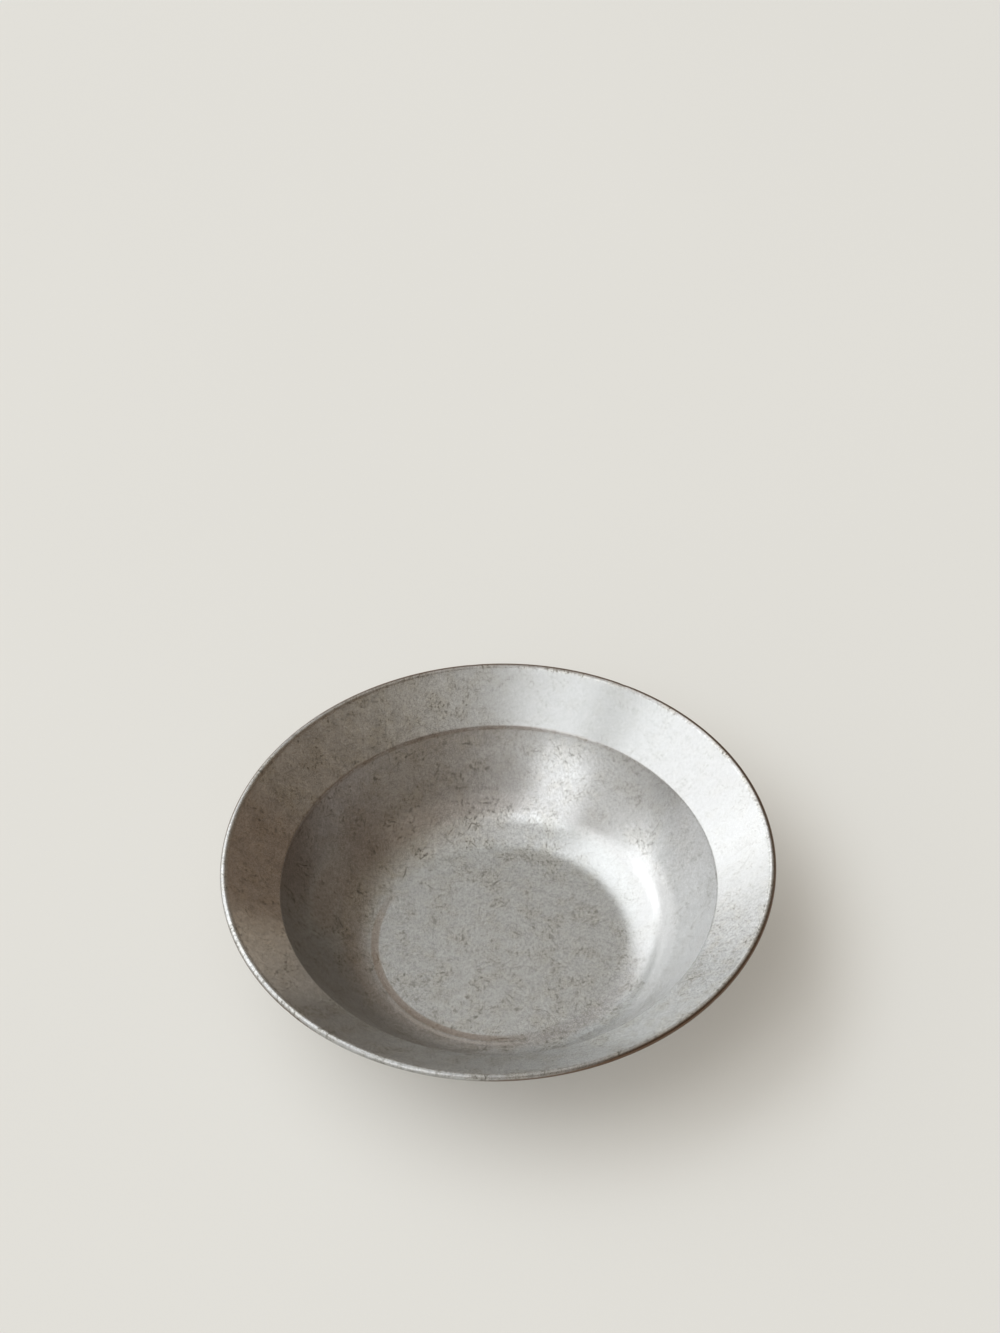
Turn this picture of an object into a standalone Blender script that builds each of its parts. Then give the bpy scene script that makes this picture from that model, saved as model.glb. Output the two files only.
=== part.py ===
"""Deep plate of stainless steel, with a wide conical rim and a rolled edge.

The plate is drawn from one round blank and its edge is rolled under, so it is a single piece of metal.
The middle line of the sheet is followed outward from the axis as straight runs and arcs that meet
smoothly. Both faces lie half a sheet away from that line, and the section between them is turned about
the Z axis. The plate stands on Z = 0.
"""

import math

import bpy
from mathutils import Vector

# Driving dimensions, in metres and degrees
OUTER_DIAMETER = 0.220  # over the rolled edge
OVERALL_HEIGHT = 0.050  # from what it stands on to the top of the rolled edge
SHEET_THICKNESS = 0.0007
FLOOR_DIAMETER = 0.098  # flat part of the floor
FILLET_SLOPE = 46.0  # where the fillet at the floor ends and the wall begins
WALL_SLOPE = 62.0  # at the top of the wall, just under the crease
CREASE_DIAMETER = 0.1752  # where the wall ends and the conical rim begins
CREASE_RADIUS = 0.0008  # underneath the crease
RIM_SLOPE = 34.4  # of the conical rim, above level
BEAD_DIAMETER = 0.0030  # of the rolled edge
NECK_RADIUS = 0.0015  # of the small upward bend just inside the rolled edge
NECK_TURN = 15.0
CURL_TURN = 280.0  # how far the edge of the sheet is rolled round

# Fineness of the turned mesh
TURN_STEPS = 72
FILLET_STEPS = 6
WALL_STEPS = 4
CREASE_STEPS = 2
NECK_STEPS = 2
CURL_STEPS = 10
MERGE_DISTANCE = 0.00001

# Finish of the antiqued steel
STEEL_COLOUR = (0.50, 0.49, 0.47, 1.0)
STEEL_ROUGHNESS = 0.38


def left_of(heading):
    """Unit vector to the left of a heading, in the plane of the section (radius, height)."""
    return Vector((-math.sin(heading), math.cos(heading)))


def arc(centre, radius, start, end, steps):
    """Points and headings along an arc of the middle line. A rising heading turns left, about the centre."""
    turn = 1 if end > start else -1
    line = []
    for step in range(steps + 1):
        heading = start + (end - start) * step / steps
        line.append((centre - turn * radius * left_of(heading), heading))
    return line


def middle_line():
    """Points and headings of the sheet's middle line, from the axis to the end of the rolled edge."""
    half_sheet = SHEET_THICKNESS / 2
    slope = math.radians(RIM_SLOPE)
    lip = slope + math.radians(NECK_TURN)

    # The rolled edge is set by the overall size, and the neck and the rim lead up to it
    bead_radius = BEAD_DIAMETER / 2 - half_sheet
    bead_centre = Vector((OUTER_DIAMETER - BEAD_DIAMETER, 2 * OVERALL_HEIGHT - BEAD_DIAMETER)) / 2
    lip_point = bead_centre + bead_radius * left_of(lip)
    neck_centre = lip_point + NECK_RADIUS * left_of(lip)
    rim_end = neck_centre - NECK_RADIUS * left_of(slope)
    rim_start_radius = CREASE_DIAMETER / 2
    rim_start = Vector((rim_start_radius, rim_end.y - (rim_end.x - rim_start_radius) * math.tan(slope)))

    # The crease turns down from the rim to the top of the wall
    wall_slope = math.radians(WALL_SLOPE)
    crease_radius = CREASE_RADIUS + half_sheet
    crease_centre = rim_start - crease_radius * left_of(slope)
    wall_top = crease_centre + crease_radius * left_of(wall_slope)

    # The fillet and the gently curved wall are two arcs that share a tangent: their radii are the two
    # that together reach from the edge of the flat floor to the top of the wall
    fillet_slope = math.radians(FILLET_SLOPE)
    floor_edge = Vector((FLOOR_DIAMETER / 2, half_sheet))
    reach = wall_top - floor_edge
    fillet_span = left_of(0.0) - left_of(fillet_slope)
    wall_span = left_of(fillet_slope) - left_of(wall_slope)
    spread = fillet_span.cross(wall_span)
    fillet_radius = reach.cross(wall_span) / spread
    wall_radius = fillet_span.cross(reach) / spread
    fillet_centre = floor_edge + fillet_radius * left_of(0.0)
    wall_centre = wall_top + wall_radius * left_of(wall_slope)

    floor_centre = (Vector((0, half_sheet)), 0.0)
    fillet = arc(fillet_centre, fillet_radius, 0.0, fillet_slope, FILLET_STEPS)
    wall = arc(wall_centre, wall_radius, fillet_slope, wall_slope, WALL_STEPS)
    crease = arc(crease_centre, crease_radius, wall_slope, slope, CREASE_STEPS)
    neck = arc(neck_centre, NECK_RADIUS, slope, lip, NECK_STEPS)
    curl = arc(bead_centre, bead_radius, lip, lip - math.radians(CURL_TURN), CURL_STEPS)
    return [floor_centre] + fillet + wall[1:] + crease[1:] + neck + curl[1:]


def section():
    """Outline of the sheet's section: outward along the upper face, round the edge and back underneath."""
    line = middle_line()
    half_sheet = SHEET_THICKNESS / 2
    upper = [point + half_sheet * left_of(heading) for point, heading in line]
    lower = [point - half_sheet * left_of(heading) for point, heading in line]
    return upper + lower[::-1]


def steel():
    """Antiqued stainless steel with a satin, stone-tumbled finish."""
    material = bpy.data.materials.new("antiqued_steel")
    material.use_nodes = True
    shader = material.node_tree.nodes["Principled BSDF"]
    shader.inputs["Base Color"].default_value = STEEL_COLOUR
    shader.inputs["Metallic"].default_value = 1.0
    shader.inputs["Roughness"].default_value = STEEL_ROUGHNESS
    return material


def dish(collection):
    """The plate itself: the sheet's section turned a full circle about the axis."""
    outline = section()
    mesh = bpy.data.meshes.new("dish")
    points = [(point.x, 0.0, point.y) for point in outline]
    edges = [(index, index + 1) for index in range(len(points) - 1)]
    mesh.from_pydata(points, edges, [])
    mesh.materials.append(steel())
    plate = bpy.data.objects.new("dish", mesh)
    collection.objects.link(plate)

    turn = plate.modifiers.new("turn", "SCREW")
    turn.axis = "Z"
    turn.steps = TURN_STEPS
    turn.render_steps = TURN_STEPS
    turn.use_merge_vertices = True
    turn.merge_threshold = MERGE_DISTANCE
    turn.use_smooth_shade = True

    # The flat floor and the straight rim keep flat shading beside the small bends
    shading = plate.modifiers.new("shading", "WEIGHTED_NORMAL")
    shading.keep_sharp = True
    return plate


def main():
    for old in list(bpy.data.objects):
        bpy.data.objects.remove(old, do_unlink=True)
    collection = bpy.data.collections.new("deep_plate")
    bpy.context.scene.collection.children.link(collection)
    dish(collection)


main()
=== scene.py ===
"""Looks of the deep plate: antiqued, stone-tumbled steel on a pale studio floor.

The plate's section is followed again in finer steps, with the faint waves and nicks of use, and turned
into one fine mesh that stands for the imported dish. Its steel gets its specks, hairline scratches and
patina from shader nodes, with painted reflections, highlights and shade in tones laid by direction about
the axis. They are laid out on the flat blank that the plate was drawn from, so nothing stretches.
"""

import math

import bpy
from mathutils import Matrix, Vector, noise


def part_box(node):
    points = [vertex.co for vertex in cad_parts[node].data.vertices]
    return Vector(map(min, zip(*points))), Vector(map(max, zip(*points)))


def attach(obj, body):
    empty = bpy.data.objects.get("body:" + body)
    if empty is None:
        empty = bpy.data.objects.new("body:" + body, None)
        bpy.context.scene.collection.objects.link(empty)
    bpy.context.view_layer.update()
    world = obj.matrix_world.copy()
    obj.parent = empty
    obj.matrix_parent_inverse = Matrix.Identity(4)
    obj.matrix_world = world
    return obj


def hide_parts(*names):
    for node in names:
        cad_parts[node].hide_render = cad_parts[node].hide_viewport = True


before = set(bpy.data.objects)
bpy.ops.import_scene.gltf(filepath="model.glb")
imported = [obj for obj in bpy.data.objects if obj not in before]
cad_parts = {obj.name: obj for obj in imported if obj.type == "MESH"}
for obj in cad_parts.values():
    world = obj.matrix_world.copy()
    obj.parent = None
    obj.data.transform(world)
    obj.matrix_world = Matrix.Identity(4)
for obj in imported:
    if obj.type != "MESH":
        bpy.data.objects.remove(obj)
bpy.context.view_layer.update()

# Size of the dish, from the frame
DISH_LOW, DISH_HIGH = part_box("dish")
OUTER_RADIUS = (DISH_HIGH.x - DISH_LOW.x) / 2
OVERALL_HEIGHT = DISH_HIGH.z - DISH_LOW.z

# The rest of the section, in metres and degrees
SHEET_THICKNESS = 0.0007
FLOOR_RADIUS = 0.049  # flat part of the floor
FILLET_SLOPE = 46.0  # where the fillet at the floor ends and the wall begins
WALL_SLOPE = 62.0  # at the top of the wall, just under the crease
CREASE_AT = 0.0876  # from the axis to where the wall ends and the conical rim begins
CREASE_RADIUS = 0.0008  # underneath the crease
RIM_SLOPE = 34.4
BEAD_RADIUS = 0.0015  # of the rolled edge
NECK_RADIUS = 0.0015  # of the small upward bend just inside the rolled edge
NECK_TURN = 15.0
CURL_TURN = 280.0  # how far the edge of the sheet is rolled round

# Fineness of the turned mesh
TURN_STEPS = 320
FLOOR_STEPS = 18
FILLET_STEPS = 26
WALL_STEPS = 26
CREASE_STEPS = 8
RIM_STEPS = 14
NECK_STEPS = 6
CURL_STEPS = 30
SHARP_ANGLE = 50.0  # degrees

# Faint waves in the sheet and nicks in its rolled edge, in metres and degrees
WAVE_HEIGHT = 0.00006
WAVE_LENGTH = 0.016
NICK_ANGLES = (222.0, 94.0, 318.0, 61.0)
NICK_DEPTH = 0.00016
NICK_WIDTH = 0.0011

# The finish is laid out on the blank in millimetres, with the underside far from the upper face
MILLIMETRES = 1000.0
UNDERSIDE_OFFSET = 0.5  # metres
DRAWN_OUT = (1.0, 0.72, 1.0)  # grain and specks are a little longer along Y
GRAIN_HEIGHT = 0.0015  # millimetres, as the two below
MOTTLE_HEIGHT = 0.006
MARK_DEPTH = 0.006

# Colours of the bare steel, of tarnish, painted shade and painted highlights, and of marks, patina and
# painted reflections
CLEAN_STEEL = (0.555, 0.566, 0.565, 1.0)
STAINED_STEEL = (0.53, 0.53, 0.505, 1.0)
GREY_TARNISH_AND_PAINTED_SHADE = (0.24, 0.20, 0.17, 1.0)
RED_TARNISH_AND_PAINTED_SHADE = (0.23, 0.155, 0.12, 1.0)
COPPER_TARNISH_AND_PAINTED_SHADE = (0.46, 0.31, 0.21, 1.0)
BROWN_TARNISH_AND_PAINTED_SHADE = (0.36, 0.25, 0.19, 1.0)
WARM_PAINTED_SHADE = (0.12, 0.115, 0.11, 1.0)
PAINTED_SHADE = (0.12, 0.12, 0.12, 1.0)
PAINTED_SHEEN = (0.80, 0.81, 0.82, 1.0)
PAINTED_HIGHLIGHT = (0.93, 0.935, 0.94, 1.0)
PALE_PAINTED_SHEEN = (0.60, 0.62, 0.60, 1.0)
PAINTED_RIM_HIGHLIGHT = (0.80, 0.80, 0.79, 1.0)
DARK_MARK = (0.11, 0.10, 0.08, 1.0)
HOLLOW_PATINA = (0.20, 0.14, 0.10, 1.0)
EDGE_PATINA_AND_DARK_REFLECTION = (0.145, 0.09, 0.058, 1.0)
EDGE_FILM_AND_DARK_REFLECTION = (0.20, 0.15, 0.115, 1.0)
RING_PATINA_AND_DARK_REFLECTION = (0.29, 0.20, 0.135, 1.0)
RING_LIGHT_REFLECTION = (0.80, 0.78, 0.76, 1.0)

# Camera, as the photograph was taken, in metres and degrees
PHOTO_WIDTH = 1000
PHOTO_HEIGHT = 1333
FOCAL_PIXELS = 4034
SENSOR_SIDE = 36.0
CLIP_START = 0.01
CAMERA_AIM = Vector((0.00288, 0.10879, 0.0485))
CAMERA_DISTANCE = 1.6730
CAMERA_AZIMUTH = 270.0
CAMERA_ELEVATION = 45.453
CAMERA_ROLL = 1.517

# The floor of painted board, in metres, with a glow that is weakest close to the plate
FLOOR_HALF = 4.0
BOARD_DARK = (0.79, 0.78, 0.735, 1.0)
BOARD_LIGHT = (0.82, 0.81, 0.765, 1.0)
BOARD_PATCHES = 3.0  # to the metre
BOARD_TOOTH = 900.0  # to the metre
BOARD_SPECULAR = 0.1
BOARD_ROUGHNESS = (0.8, 0.95)
TOOTH_STRENGTH = 0.15
TOOTH_HEIGHT = 0.0002
GLOW_STRENGTH = 0.95
GLOW_SHARE = (0.22, 0.7)  # close to the plate, and far from it
GLOW_RING = (0.12, 0.17)  # from the axis, where the share grows
GLOW_CENTRE = Vector((0.03, 0.03, 0.0))  # behind the axis and to the right of it
GLOW_SIDE_RING = (0.10, 0.18)  # from that centre, where the share grows too

# The room round the plate, from the horizon up: a low pale screen, a dim warm wall and a light ceiling
SCREEN_COLOUR = (0.84, 0.81, 0.77, 1.0)
WALL_COLOUR = (0.42, 0.37, 0.33, 1.0)
CEILING_EDGE = (0.58, 0.58, 0.54, 1.0)
CEILING_TOP = (0.94, 0.935, 0.92, 1.0)
CEILING_FADE = (0.83, 0.97)
SCREEN_TILT = (0.2, 0.0, 1.0)
SCREEN_RISE = 0.335
SCREEN_SOFT = 0.01
CEILING_TILT = (-0.06, 0.08, 1.0)
CEILING_RISE = 0.775
CEILING_SOFT = 0.02
LIT_SIDE = (1.0, 1.0, 1.0, 1.0)
DIM_SIDE = (0.44, 0.356, 0.265, 1.0)
DIM_FADE = (-0.35, 0.6)

# The lamps, in metres, and the share of their width and height over which they fade at each edge
LAMP_DISTANCE = 5.0  # from the middle of the plate
LAMP_COLOUR = (0.96, 0.98, 1.01)
SOFT_EDGE = 0.2


def left_of(heading):
    """Unit vector to the left of a heading, in the plane of the section (radius, height)."""
    return Vector((-math.sin(heading), math.cos(heading)))


def arc(centre, radius, start, end, steps):
    """Points and headings along an arc. A rising heading turns left, about the centre."""
    turn = 1 if end > start else -1
    line = []
    for step in range(steps + 1):
        heading = start + (end - start) * step / steps
        line.append((centre - turn * radius * left_of(heading), heading))
    return line


def straight(start, end, heading, steps):
    """Points and headings along a straight run."""
    return [(start.lerp(end, step / steps), heading) for step in range(steps + 1)]


def sheet_line():
    """Stretches of the sheet's middle line, outward from the axis to the end of the rolled edge."""
    half_sheet = SHEET_THICKNESS / 2
    slope = math.radians(RIM_SLOPE)
    lip = slope + math.radians(NECK_TURN)
    wall_slope = math.radians(WALL_SLOPE)
    fillet_slope = math.radians(FILLET_SLOPE)

    # The rolled edge is set by the overall size, and the neck and the rim lead up to it
    roll_radius = BEAD_RADIUS - half_sheet
    roll_centre = Vector((OUTER_RADIUS - BEAD_RADIUS, OVERALL_HEIGHT - BEAD_RADIUS))
    lip_point = roll_centre + roll_radius * left_of(lip)
    neck_centre = lip_point + NECK_RADIUS * left_of(lip)
    rim_end = neck_centre - NECK_RADIUS * left_of(slope)
    rim_start = Vector((CREASE_AT, rim_end.y - (rim_end.x - CREASE_AT) * math.tan(slope)))

    # The crease turns down from the rim to the top of the wall
    crease_radius = CREASE_RADIUS + half_sheet
    crease_centre = rim_start - crease_radius * left_of(slope)
    wall_top = crease_centre + crease_radius * left_of(wall_slope)

    # The fillet and the wall are two arcs that share a tangent and reach from the floor to the wall's top
    floor_start = Vector((0.0, half_sheet))
    floor_edge = Vector((FLOOR_RADIUS, half_sheet))
    reach = wall_top - floor_edge
    fillet_span = left_of(0.0) - left_of(fillet_slope)
    wall_span = left_of(fillet_slope) - left_of(wall_slope)
    spread = fillet_span.cross(wall_span)
    fillet_radius = reach.cross(wall_span) / spread
    wall_radius = fillet_span.cross(reach) / spread
    fillet_centre = floor_edge + fillet_radius * left_of(0.0)
    wall_centre = wall_top + wall_radius * left_of(wall_slope)

    return {
        "floor": straight(floor_start, floor_edge, 0.0, FLOOR_STEPS),
        "fillet": arc(fillet_centre, fillet_radius, 0.0, fillet_slope, FILLET_STEPS),
        "wall": arc(wall_centre, wall_radius, fillet_slope, wall_slope, WALL_STEPS),
        "crease": arc(crease_centre, crease_radius, wall_slope, slope, CREASE_STEPS),
        "rim": straight(rim_start, rim_end, slope, RIM_STEPS),
        "neck": arc(neck_centre, NECK_RADIUS, slope, lip, NECK_STEPS),
        "roll": arc(roll_centre, roll_radius, lip, lip - math.radians(CURL_TURN), CURL_STEPS),
    }


def stations(stretches):
    """Points of the line with their headings and the run of sheet up to each, and each stretch's end."""
    shortest_step = SHEET_THICKNESS / 100
    line = []
    ends = {}
    run = 0.0
    for name, points in stretches.items():
        for point, heading in points:
            if line:
                step = (point - line[-1][0]).length
                if step < shortest_step:
                    continue
                run += step
            line.append((point, heading, run))
        ends[name] = run
    return line, ends


def wear(angle, run, ends):
    """How far the sheet is pushed to the left of its middle line: faint waves, and nicks in the edge."""
    place = Vector((run * math.cos(angle), run * math.sin(angle), 0.0)) / WAVE_LENGTH
    fade = min(1.0, max(0.0, (ends["rim"] - run) / WAVE_LENGTH))
    shift = WAVE_HEIGHT * fade * (1.0 + noise.noise(place)) / 2
    if run > ends["neck"]:
        for nick in NICK_ANGLES:
            away = math.remainder(angle - math.radians(nick), 2 * math.pi) * OUTER_RADIUS
            shift -= NICK_DEPTH * math.exp(-(away / NICK_WIDTH) ** 2)
    return shift


def turned_mesh(line, ends):
    """The sheet turned about the axis. Each point keeps its place on the flat blank for the finish."""
    half_sheet = SHEET_THICKNESS / 2
    points = []
    places = []
    faces = []

    def add(point, angle, run, side):
        points.append((point.x * math.cos(angle), point.x * math.sin(angle), point.y))
        places.append((run * math.cos(angle), run * math.sin(angle), side))

    for side, offset in ((0.0, half_sheet), (UNDERSIDE_OFFSET, -half_sheet)):
        add(line[0][0] + offset * left_of(0.0), 0.0, 0.0, side)
    ring = 2 * (len(line) - 1)
    for turn in range(TURN_STEPS):
        angle = 2 * math.pi * turn / TURN_STEPS
        below = []
        for point, heading, run in line[1:]:
            left = left_of(heading)
            shifted = point + wear(angle, run, ends) * left
            add(shifted + half_sheet * left, angle, run, 0.0)
            below.append((shifted - half_sheet * left, angle, run, UNDERSIDE_OFFSET))
        for lower in reversed(below):
            add(*lower)
        here = 2 + turn * ring
        after = 2 + (turn + 1) % TURN_STEPS * ring
        faces.append((0, here, after))
        faces.append((1, after + ring - 1, here + ring - 1))
        for step in range(ring - 1):
            faces.append((here + step, here + step + 1, after + step + 1, after + step))

    mesh = bpy.data.meshes.new("steel_plate")
    mesh.from_pydata(points, [], faces)
    blank = mesh.attributes.new("blank", "FLOAT_VECTOR", "POINT")
    blank.data.foreach_set("vector", [number for place in places for number in place])
    mesh.shade_smooth()
    mesh.set_sharp_from_angle(angle=math.radians(SHARP_ANGLE))
    mesh.update()
    return mesh


def node(tree, kind, inputs=None, **settings):
    """A shader node with its settings, and its inputs either set or linked."""
    made = tree.nodes.new("ShaderNode" + kind)
    for name, value in settings.items():
        setattr(made, name, value)
    for name, value in (inputs or {}).items():
        if isinstance(value, bpy.types.NodeSocket):
            tree.links.new(value, made.inputs[name])
        else:
            made.inputs[name].default_value = value
    return made


def calculate(tree, operation, first, second=0.0):
    """One sum on two numbers."""
    return node(tree, "Math", {0: first, 1: second}, operation=operation).outputs[0]


def times(tree, *factors):
    """The product of several numbers."""
    product = factors[0]
    for factor in factors[1:]:
        product = calculate(tree, "MULTIPLY", product, factor)
    return product


def most(tree, *values):
    """The largest of several numbers."""
    largest = values[0]
    for value in values[1:]:
        largest = calculate(tree, "MAXIMUM", largest, value)
    return largest


def ramp(tree, value, low, high, to_low=0.0, to_high=1.0):
    """A value taken smoothly from one range to another."""
    inputs = {"Value": value, 1: low, 2: high, 3: to_low, 4: to_high}
    return node(tree, "MapRange", inputs, interpolation_type="SMOOTHSTEP").outputs[0]


def band(tree, value, start, end, edge):
    """1 between start and end, fading to 0 over the edge on both sides."""
    rising = ramp(tree, value, start - edge, start)
    falling = ramp(tree, value, end, end + edge, 1.0, 0.0)
    return times(tree, rising, falling)


def blend(tree, share, first, second, kind="MIX"):
    """Two colours blended by a share."""
    inputs = {0: share, 6: first, 7: second}
    return node(tree, "Mix", inputs, data_type="RGBA", blend_type=kind).outputs[2]


def laid_over(tree, colour, layers):
    """A colour with layers on it, each given by its colour, its share and the places that it lies on."""
    for layer, share, *places in layers:
        colour = blend(tree, times(tree, share, *places), colour, layer)
    return colour


def dot(tree, place, along):
    """How far a place lies along a vector."""
    return node(tree, "VectorMath", {0: place, 1: along}, operation="DOT_PRODUCT").outputs["Value"]


def length_of(tree, place):
    """How far a place lies from the origin."""
    return node(tree, "VectorMath", {0: place}, operation="LENGTH").outputs["Value"]


def moved(tree, place, offset):
    """The place pushed by an offset."""
    return node(tree, "VectorMath", {0: place, 1: offset}, operation="ADD").outputs[0]


def stretched(tree, place, factors):
    """The place with each of its three numbers multiplied by a factor."""
    return node(tree, "VectorMath", {0: place, 1: factors}, operation="MULTIPLY").outputs[0]


def scaled(tree, place, factor):
    """The place multiplied by one factor."""
    return node(tree, "VectorMath", {0: place, "Scale": factor}, operation="SCALE").outputs[0]


def cloud(tree, place, size, detail, roughness=0.55):
    """Cloudy noise whose largest lumps are about as wide as size, in millimetres."""
    inputs = {"Vector": place, "Scale": 1 / size, "Detail": detail, "Roughness": roughness}
    return node(tree, "TexNoise", inputs).outputs[0]


def hairlines(tree, place, spacing, length, width, bend, shift):
    """Short curved scratches, about one to every two squares of the spacing, all in millimetres."""
    wander = node(tree, "TexNoise", {"Vector": place, "Scale": 1 / length, "Detail": 1.0}).outputs["Color"]
    centred = moved(tree, wander, (-0.5, -0.5, -0.5))
    pushed = scaled(tree, centred, bend)
    curved = moved(tree, moved(tree, place, pushed), (shift, -shift, 0.0))

    # Each cell of the pattern holds one scratch at most, turned, as long and as strong as chance has it
    cells = node(tree, "TexVoronoi", {"Vector": curved, "Scale": 1 / spacing}, voronoi_dimensions="2D")
    chance = node(tree, "SeparateColor", {0: cells.outputs["Color"]})
    inputs = {0: curved, 1: cells.outputs["Position"]}
    from_middle = node(tree, "VectorMath", inputs, operation="SUBTRACT").outputs[0]
    inputs = {"Vector": from_middle, "Angle": times(tree, chance.outputs[0], 2 * math.pi)}
    turned = node(tree, "VectorRotate", inputs, rotation_type="Z_AXIS").outputs[0]
    parts = node(tree, "SeparateXYZ", {0: turned})
    along = calculate(tree, "ABSOLUTE", parts.outputs[0])
    across = calculate(tree, "ABSOLUTE", parts.outputs[1])
    half_length = times(tree, chance.outputs[1], length / 2)
    ends = ramp(tree, calculate(tree, "SUBTRACT", half_length, along), 0.0, length / 8)
    line = ramp(tree, across, 0.0, width, 1.0, 0.0)
    return times(tree, line, ends, ramp(tree, chance.outputs[2], 0.5, 0.7))


class Blank:
    """The flat blank that the plate was drawn from, on which the finish is laid out, in millimetres.

    A place on it is told by its run, which is the way along the sheet from the axis, and by its direction
    about the axis, in degrees from +X towards +Y. The front is at 270 degrees.
    """

    def __init__(self, tree, ends):
        self.tree = tree
        self.end = {name: MILLIMETRES * run for name, run in ends.items()}
        stored = node(tree, "Attribute", attribute_name="blank").outputs["Vector"]
        self.place = scaled(tree, stored, MILLIMETRES)
        self.run = length_of(tree, stretched(tree, self.place, (1.0, 1.0, 0.0)))

        # The wall and its upper part, both under the rim, and the conical rim itself
        floor, fillet = self.end["floor"], self.end["fillet"]
        self.under_rim = self.along(self.end["wall"] - 1.0, self.end["crease"], 1.0, 0.0)
        self.on_wall = times(tree, self.under_rim, self.along(floor - 2.0, floor + 18.0))
        self.upper_wall = times(tree, self.under_rim, self.along(fillet - 7.0, fillet + 1.0))
        self.on_rim = self.zone(self.end["crease"], self.end["rim"] - 0.5, 0.8)

    def along(self, start, stop, to_start=0.0, to_stop=1.0):
        """A value that changes smoothly between two places along the run."""
        return ramp(self.tree, self.run, start, stop, to_start, to_stop)

    def zone(self, start, stop, edge):
        """1 between two places along the run, fading to 0 over the edge on both sides."""
        return band(self.tree, self.run, start, stop, edge)

    def toward(self, angle):
        """How far out a place lies towards a direction."""
        turn = math.radians(angle)
        return dot(self.tree, self.place, (math.cos(turn), math.sin(turn), 0.0))

    def beyond(self, angle, near, far, to_near=0.0, to_far=1.0):
        """A value that changes smoothly with how far out a place lies towards a direction."""
        return ramp(self.tree, self.toward(angle), near, far, to_near, to_far)

    def side(self, angle, outer, inner):
        """1 within the inner angle of a direction, fading to 0 at the outer angle."""
        facing = calculate(self.tree, "DIVIDE", self.toward(angle), self.run)
        return ramp(self.tree, facing, math.cos(math.radians(outer)), math.cos(math.radians(inner)))


def kept_texture(tree, blank):
    """How strong grain and marks are: painted fainter where the bright reflections lie, on the right side
    and at the back.
    """
    floor, fillet = blank.end["floor"], blank.end["fillet"]
    bend = times(tree, blank.zone(floor + 4.0, fillet + 1.0, 5.0), blank.beyond(20.0, 25.0, 62.0))
    rim = times(tree, blank.on_rim, blank.side(40.0, 68.0, 32.0))
    right_and_back = most(tree, blank.side(15.0, 75.0, 45.0), blank.side(74.0, 24.0, 8.0))
    wall = times(tree, blank.upper_wall, right_and_back, 0.55)
    # The bright reflections lie here, and grain and marks are painted fainter under them
    under_highlights = most(tree, bend, rim, wall)
    fainter_floor = blank.along(floor - 2.0, floor + 8.0, 0.82, 1.0)
    return times(tree, ramp(tree, under_highlights, 0.0, 1.0, 1.0, 0.22), fainter_floor)


def tones_and_painted_light(tree, blank, colour):
    """The colour with wide soft tones by direction: tarnish and painted shade on the left, painted shade
    and highlights elsewhere.
    """
    floor, fillet, wall = blank.end["floor"], blank.end["fillet"], blank.end["wall"]
    on_floor = blank.along(floor, floor + 6.0, 1.0, 0.0)
    under_crease = times(tree, blank.under_rim, blank.along(wall - 14.0, wall))
    right_sides = most(tree, blank.side(335.0, 20.0, 6.0), times(tree, blank.side(55.0, 58.0, 24.0), 0.65))
    right_bend = blank.zone(fillet - 2.0, fillet + 3.0, 5.0)
    right_bend = times(tree, right_bend, blank.side(356.0, 45.0, 22.0), 0.42)
    back_bend = blank.zone(fillet - 4.0, fillet + 3.0, 5.0)
    back_bend = times(tree, back_bend, blank.side(106.0, 34.0, 14.0), 0.32)
    right_wall = times(tree, blank.upper_wall, blank.side(341.0, 18.0, 6.0), 0.25)
    # Tarnish and painted shade on the left, painted shade in front, on the right of the rim and the left of
    # the floor, and painted highlights on the right and back of the wall and on the left of the rim and
    # wall
    return laid_over(tree, colour, (
        (GREY_TARNISH_AND_PAINTED_SHADE, 0.48, blank.on_wall, blank.beyond(221.0, 10.0, 62.0)),
        (GREY_TARNISH_AND_PAINTED_SHADE, 0.35, under_crease, blank.side(138.0, 70.0, 35.0)),
        (RED_TARNISH_AND_PAINTED_SHADE, 0.32, blank.upper_wall, blank.side(154.0, 32.0, 12.0)),
        (COPPER_TARNISH_AND_PAINTED_SHADE, 0.25, blank.zone(fillet + 2.0, fillet + 10.0, 6.0), blank.side(168.0, 18.0, 5.0)),
        (BROWN_TARNISH_AND_PAINTED_SHADE, 0.32, blank.on_rim, blank.side(176.0, 26.0, 8.0)),
        (WARM_PAINTED_SHADE, 0.25, blank.beyond(256.0, 83.0, 99.0)),
        (PAINTED_SHADE, 0.10, blank.zone(floor + 5.0, fillet - 5.0, 4.0), blank.side(333.0, 24.0, 8.0)),
        (PAINTED_SHADE, 0.15, blank.on_rim, right_sides),
        (PAINTED_SHADE, 0.09, on_floor, blank.beyond(185.0, 12.0, 46.0)),
        (PAINTED_SHADE, 0.10, blank.zone(floor + 1.0, wall, 2.0), blank.side(286.0, 36.0, 14.0)),
        (PAINTED_SHEEN, 0.50, blank.upper_wall, blank.beyond(338.0, 48.0, 76.0)),
        (PAINTED_HIGHLIGHT, 1.00, most(tree, right_bend, back_bend, right_wall)),
        (PALE_PAINTED_SHEEN, 0.28, blank.zone(floor + 15.0, fillet + 13.0, 6.0), blank.side(168.0, 26.0, 8.0)),
        (PAINTED_RIM_HIGHLIGHT, 0.45, blank.on_rim, blank.side(206.0, 18.0, 6.0)),
    ))


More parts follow.
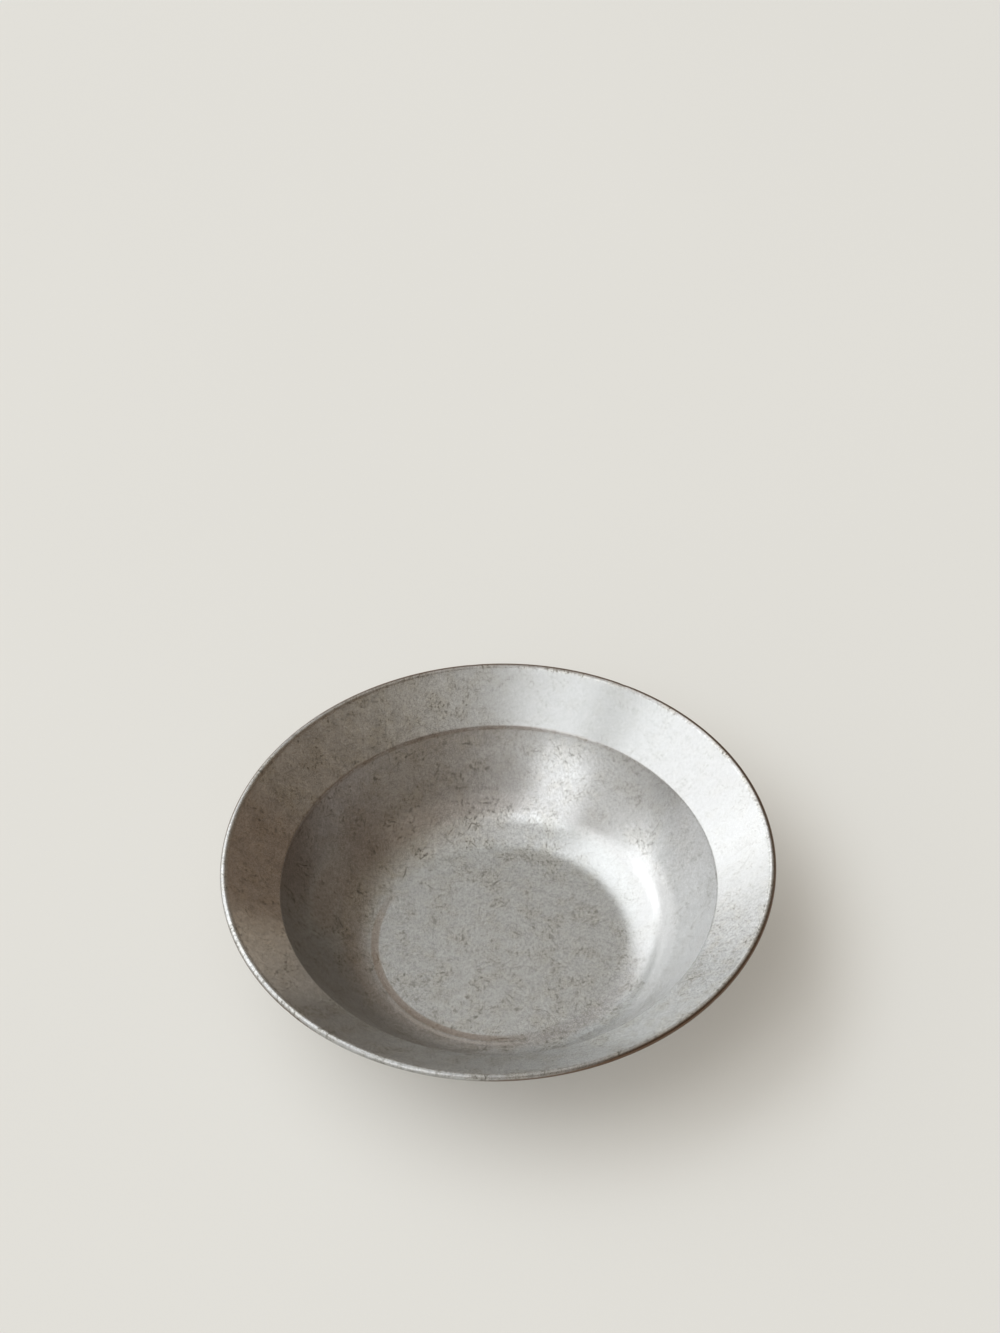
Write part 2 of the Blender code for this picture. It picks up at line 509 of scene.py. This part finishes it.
def dark_marks(tree, blank, drawn, stains, texture):
    """Specks and hairlines, darkest in the stains."""
    pepper = ramp(tree, cloud(tree, drawn, 1.2, 3.0, 0.7), 0.57, 0.615, 0.0, 0.9)
    blots = cloud(tree, moved(tree, drawn, (3.0, 8.0, 0.0)), 2.8, 6.0, 0.8)
    blots = ramp(tree, blots, 0.555, 0.605, 0.0, 0.75)
    specks = times(tree, most(tree, pepper, blots), ramp(tree, stains, 0.0, 1.0, 0.3, 1.0))
    long_lines = hairlines(tree, blank.place, spacing=7.5, length=9.0, width=0.42, bend=5.0, shift=3.0)
    short_lines = hairlines(tree, blank.place, spacing=3.2, length=4.0, width=0.38, bend=3.0, shift=17.0)
    lines = most(tree, long_lines, times(tree, short_lines, 0.85))
    fainter_wall = blank.along(blank.end["floor"], blank.end["fillet"], 1.0, 0.8)
    lines = times(tree, lines, ramp(tree, stains, 0.0, 1.0, 0.42, 1.0), fainter_wall)
    return times(tree, most(tree, specks, lines), texture)


def patina_and_painted_reflections(tree, blank, colour, mottles):
    """The colour with brown patina in the rim's hollows, patina and painted dark reflection outside the
    rolled edge, and painted reflections in rings at the front of the floor.
    """
    end = blank.end

    # In the hollows of the rim it is uneven, and strongest at the back and on the left
    groove = times(tree, blank.zone(end["rim"] - 0.2, end["rim"] + 0.4, 0.6), blank.side(160.0, 60.0, 30.0))
    under_crease = blank.zone(end["wall"] - 0.6, end["wall"] + 0.1, 0.9)
    hollows = most(tree, times(tree, groove, 0.3), times(tree, under_crease, 0.5))
    uneven = ramp(tree, mottles, 0.3, 0.6, 0.4, 1.0)
    left = blank.beyond(0.0, 0.0, 80.0, 1.0, 0.15)
    back = blank.beyond(90.0, -40.0, 40.0, 0.2, 1.0)
    colour = blend(tree, times(tree, hollows, uneven, left, back), colour, HOLLOW_PATINA)

    # Outside the rolled edge, patina with a painted dark reflection reaches furthest in at the back, and is
    # kept off in front and on the left, where the highlight lies
    back = blank.side(68.0, 80.0, 35.0)
    highlight_left = blank.beyond(232.0, 40.0, 100.0)
    highlight_front = blank.beyond(248.0, 120.0, 128.0, 0.0, 0.8)
    highlight_shift = calculate(tree, "ADD", highlight_left, highlight_front)
    highlight_shift = calculate(tree, "SUBTRACT", highlight_shift, times(tree, back, 0.6))
    outside = calculate(tree, "SUBTRACT", blank.run, highlight_shift)
    outside = ramp(tree, outside, end["neck"] + 1.1, end["neck"] + 2.0)

    # At the front of the floor, a brown ring of patina and painted dark reflection, with a ring of painted
    # light reflection outside it
    dark_reflection_ring = blank.zone(end["floor"] + 0.6, end["floor"] + 2.8, 0.9)
    light_reflection_ring = blank.zone(end["floor"] + 4.4, end["floor"] + 5.2, 0.9)
    return laid_over(tree, colour, (
        (EDGE_PATINA_AND_DARK_REFLECTION, 0.95, outside),
        (EDGE_FILM_AND_DARK_REFLECTION, 0.30, back, blank.along(end["neck"], end["neck"] + 0.5)),
        (RING_PATINA_AND_DARK_REFLECTION, 0.45, dark_reflection_ring, blank.side(215.0, 75.0, 35.0)),
        (RING_LIGHT_REFLECTION, 0.35, light_reflection_ring, blank.side(248.0, 42.0, 18.0)),
    ))


def steel(ends):
    """Antiqued stainless steel: tumbled grain, specks, hairlines and patina, with painted reflections,
    highlights and shade.
    """
    material = bpy.data.materials.new("antiqued_steel_with_painted_light")
    material.use_nodes = True
    tree = material.node_tree
    shader = tree.nodes["Principled BSDF"]
    shader.inputs["Metallic"].default_value = 1.0
    blank = Blank(tree, ends)
    place = blank.place
    drawn = stretched(tree, place, DRAWN_OUT)
    texture = kept_texture(tree, blank)

    # Stains, then wide soft tones of tarnish, painted shade and painted highlights
    stains = ramp(tree, cloud(tree, moved(tree, place, (40.0, 15.0, 0.0)), 11.0, 5.0, 0.62), 0.42, 0.64)
    colour = blend(tree, times(tree, stains, texture), CLEAN_STEEL, STAINED_STEEL)
    colour = tones_and_painted_light(tree, blank, colour)

    # Mottles and tumbled grain, and larger clouds on the left of the rim
    mottles = cloud(tree, place, 5.0, 5.0, 0.65)
    grain = cloud(tree, drawn, 1.1, 4.0, 0.7)
    shade = times(tree, ramp(tree, mottles, 0.3, 0.7, 0.93, 1.06),
                  ramp(tree, grain, 0.30, 0.65, 0.83, 1.13))
    colour = blend(tree, texture, colour, shade, "MULTIPLY")
    clouds = cloud(tree, moved(tree, place, (70.0, 30.0, 0.0)), 8.0, 5.0, 0.7)
    clouded = times(tree, blank.on_rim, blank.side(150.0, 65.0, 30.0))
    colour = blend(tree, clouded, colour, ramp(tree, clouds, 0.3, 0.7, 0.92, 1.13), "MULTIPLY")

    # Dark marks, brown patina and painted reflections
    marks = dark_marks(tree, blank, drawn, stains, texture)
    colour = blend(tree, times(tree, marks, 0.9), colour, DARK_MARK)
    colour = patina_and_painted_reflections(tree, blank, colour, mottles)
    tree.links.new(colour, shader.inputs["Base Color"])

    # Roughness, which changes from spot to spot, and relief
    matt = cloud(tree, moved(tree, place, (7.0, 3.0, 0.0)), 0.2, 0.0)
    rough = ramp(tree, matt, 0.42, 0.62, 0.21, 0.62)
    rough = calculate(tree, "ADD", rough, times(tree, marks, 0.15))
    tree.links.new(rough, shader.inputs["Roughness"])
    height = calculate(tree, "ADD", times(tree, grain, GRAIN_HEIGHT), times(tree, mottles, MOTTLE_HEIGHT))
    height = calculate(tree, "SUBTRACT", height, times(tree, marks, MARK_DEPTH))
    bump = node(tree, "Bump", {"Height": height, "Strength": 1.0, "Distance": 1 / MILLIMETRES})
    tree.links.new(bump.outputs[0], shader.inputs["Normal"])
    return material


def dish():
    """The plate in fine steps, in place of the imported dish."""
    line, ends = stations(sheet_line())
    mesh = turned_mesh(line, ends)
    mesh.materials.append(steel(ends))
    plate = bpy.data.objects.new("steel_plate", mesh)
    bpy.context.scene.collection.objects.link(plate)
    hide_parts("dish")
    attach(plate, "root")


def painted_board():
    """Pale board with a faint tooth. It has a glow of its own, for the camera and in reflections."""
    material = bpy.data.materials.new("painted_board")
    material.use_nodes = True
    tree = material.node_tree
    shader = tree.nodes["Principled BSDF"]
    shader.inputs["Specular IOR Level"].default_value = BOARD_SPECULAR
    place = node(tree, "TexCoord").outputs["Object"]
    tooth = node(tree, "TexNoise", {"Vector": place, "Scale": BOARD_TOOTH, "Detail": 3.0}).outputs[0]
    tone = node(tree, "TexNoise", {"Vector": place, "Scale": BOARD_PATCHES, "Detail": 2.0}).outputs[0]
    colour = blend(tree, tone, BOARD_DARK, BOARD_LIGHT)
    tree.links.new(colour, shader.inputs["Base Color"])
    tree.links.new(ramp(tree, tooth, 0.3, 0.7, *BOARD_ROUGHNESS), shader.inputs["Roughness"])
    bump = node(tree, "Bump", {"Height": tooth, "Strength": TOOTH_STRENGTH, "Distance": TOOTH_HEIGHT})
    tree.links.new(bump.outputs[0], shader.inputs["Normal"])

    # The glow keeps the background even, and leaves the shadow beside the plate
    rays = node(tree, "LightPath").outputs
    seen = most(tree, rays["Is Camera Ray"], rays["Is Glossy Ray"], rays["Is Transmission Ray"])
    from_axis = length_of(tree, place)
    from_side = length_of(tree, moved(tree, place, -GLOW_CENTRE))
    share = most(tree, ramp(tree, from_axis, *GLOW_RING, *GLOW_SHARE),
                 ramp(tree, from_side, *GLOW_SIDE_RING, *GLOW_SHARE))
    glow = node(tree, "Emission", {"Color": colour, "Strength": GLOW_STRENGTH})
    mixed = node(tree, "MixShader", {0: times(tree, seen, share), 1: shader.outputs[0], 2: glow.outputs[0]})
    tree.links.new(mixed.outputs[0], tree.nodes["Material Output"].inputs["Surface"])
    return material


def studio_floor():
    """Wide flat floor that the plate stands on."""
    half = FLOOR_HALF
    corners = [(-half, -half, 0.0), (half, -half, 0.0), (half, half, 0.0), (-half, half, 0.0)]
    mesh = bpy.data.meshes.new("studio_floor")
    mesh.from_pydata(corners, [], [(0, 1, 2, 3)])
    mesh.materials.append(painted_board())
    floor = bpy.data.objects.new("studio_floor", mesh)
    bpy.context.scene.collection.objects.link(floor)


def direction(azimuth, elevation):
    """Unit vector to a direction given in degrees, with azimuth from +X towards +Y."""
    turn = math.radians(azimuth)
    lift = math.radians(elevation)
    return Vector((math.cos(lift) * math.cos(turn), math.cos(lift) * math.sin(turn), math.sin(lift)))


def soft_light(name, azimuth, elevation, width, height, tilt, radiance):
    """A rectangular soft light that faces the plate, tilted in its own plane, as bright as its radiance."""
    lamp = bpy.data.lights.new(name, "AREA")
    lamp.shape = "RECTANGLE"
    lamp.size = width
    lamp.size_y = height
    lamp.energy = radiance * math.pi * width * height
    lamp.color = LAMP_COLOUR
    lamp.use_nodes = True
    tree = lamp.node_tree
    place = node(tree, "SeparateXYZ", {0: node(tree, "NewGeometry").outputs["Parametric"]})
    across = band(tree, place.outputs[0], SOFT_EDGE, 1.0 - SOFT_EDGE, SOFT_EDGE)
    upward = band(tree, place.outputs[1], SOFT_EDGE, 1.0 - SOFT_EDGE, SOFT_EDGE)
    tree.links.new(times(tree, across, upward), tree.nodes["Emission"].inputs["Strength"])
    light = bpy.data.objects.new(name, lamp)
    towards = direction(azimuth, elevation)
    middle = Vector((0.0, 0.0, OVERALL_HEIGHT / 2))
    position = Matrix.Translation(middle + LAMP_DISTANCE * towards)
    facing = towards.to_track_quat("Z", "Y").to_matrix().to_4x4()
    light.matrix_world = position @ facing @ Matrix.Rotation(math.radians(tilt), 4, "Z")
    bpy.context.scene.collection.objects.link(light)


def studio_world():
    """Even soft light from the room: lighter overhead and to the left, dimmer and warmer to the right."""
    world = bpy.data.worlds.new("studio")
    bpy.context.scene.world = world
    world.use_nodes = True
    tree = world.node_tree
    sky = node(tree, "TexCoord").outputs["Generated"]
    parts = node(tree, "SeparateXYZ", {0: sky})
    to_right, rise = parts.outputs[0], parts.outputs[2]
    over_screen = dot(tree, sky, SCREEN_TILT)
    over_wall = dot(tree, sky, CEILING_TILT)
    on_wall = ramp(tree, over_screen, SCREEN_RISE - SCREEN_SOFT, SCREEN_RISE + SCREEN_SOFT)
    on_ceiling = ramp(tree, over_wall, CEILING_RISE - CEILING_SOFT, CEILING_RISE + CEILING_SOFT)
    ceiling = blend(tree, ramp(tree, rise, *CEILING_FADE), CEILING_EDGE, CEILING_TOP)
    walls = blend(tree, on_wall, SCREEN_COLOUR, WALL_COLOUR)
    room = blend(tree, on_ceiling, walls, ceiling)
    tint = blend(tree, ramp(tree, to_right, *DIM_FADE), LIT_SIDE, DIM_SIDE)
    colour = blend(tree, 1.0, room, tint, "MULTIPLY")
    tree.links.new(colour, tree.nodes["Background"].inputs["Color"])


def photo_camera():
    """The camera, at the photograph's viewing angle."""
    camera = bpy.data.cameras.new("photo_camera")
    camera.sensor_width = SENSOR_SIDE
    camera.lens = SENSOR_SIDE * FOCAL_PIXELS / max(PHOTO_WIDTH, PHOTO_HEIGHT)
    camera.clip_start = CLIP_START
    holder = bpy.data.objects.new("photo_camera", camera)
    bpy.context.scene.collection.objects.link(holder)
    back = direction(CAMERA_AZIMUTH, CAMERA_ELEVATION)
    position = Matrix.Translation(CAMERA_AIM + CAMERA_DISTANCE * back)
    facing = (-back).to_track_quat("-Z", "Y").to_matrix().to_4x4()
    holder.matrix_world = position @ facing @ Matrix.Rotation(math.radians(-CAMERA_ROLL), 4, "Z")
    bpy.context.scene.camera = holder


photo_camera()
dish()
studio_floor()
studio_world()
soft_light("key", azimuth=155.0, elevation=42.0, width=8.2, height=6.0, tilt=-14.0, radiance=1.64)
soft_light("skirt", azimuth=140.0, elevation=9.5, width=6.0, height=1.6, tilt=0.0, radiance=0.8)
soft_light("fill", azimuth=234.5, elevation=40.0, width=2.8, height=6.4, tilt=0.0, radiance=1.7)
bpy.context.scene.view_settings.view_transform = "Standard"
